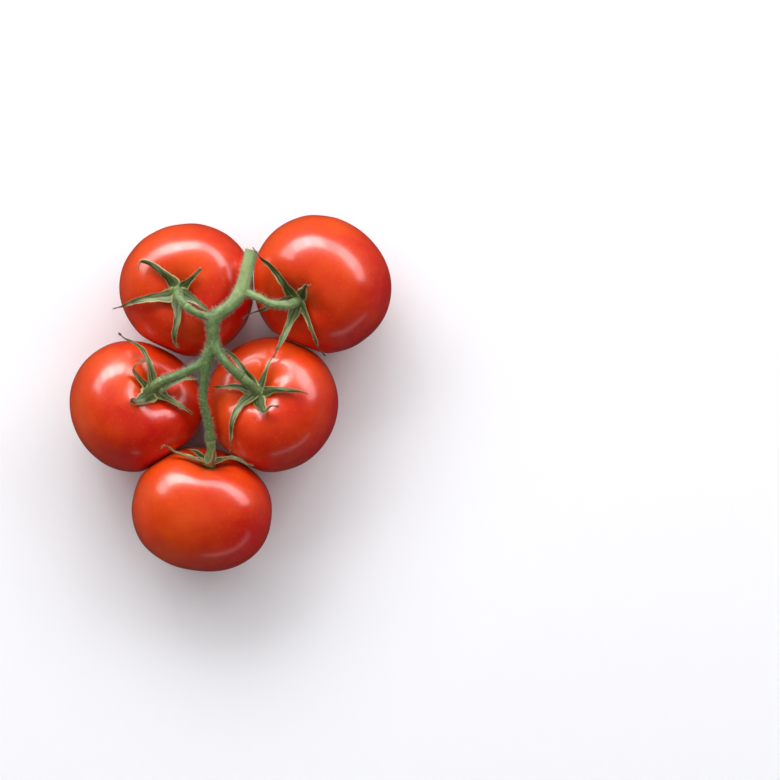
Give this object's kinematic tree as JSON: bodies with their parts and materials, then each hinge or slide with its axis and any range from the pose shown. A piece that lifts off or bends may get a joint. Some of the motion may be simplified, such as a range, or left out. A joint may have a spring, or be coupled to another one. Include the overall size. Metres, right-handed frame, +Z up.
{
  "type": "truss of tomatoes",
  "caption": "Truss of ripe round tomatoes on one green branched stalk with leafy calyces, lying on a table, as cut from the vine.",
  "frame": {"origin": "on the table, under the middle of the truss's bounding box", "axes": "seen from straight above, +X is right and +Y is towards the cut end of the stalk; +Z is up"},
  "size_m": [0.1492, 0.1655, 0.0626],
  "materials": {
    "tomato_skin": "gloss",
    "calyx": "matte",
    "stalk": "matte"
  },
  "bodies": {
    "root": {"stalk": "stalk", "calyx_top_left": "calyx", "calyx_top_right": "calyx", "calyx_mid_left": "calyx", "calyx_mid_right": "calyx", "calyx_end": "calyx", "tomato_top_left": "tomato_skin", "tomato_top_right": "tomato_skin", "tomato_mid_left": "tomato_skin", "tomato_mid_right": "tomato_skin", "tomato_end": "tomato_skin"}
  },
  "joints": []
}
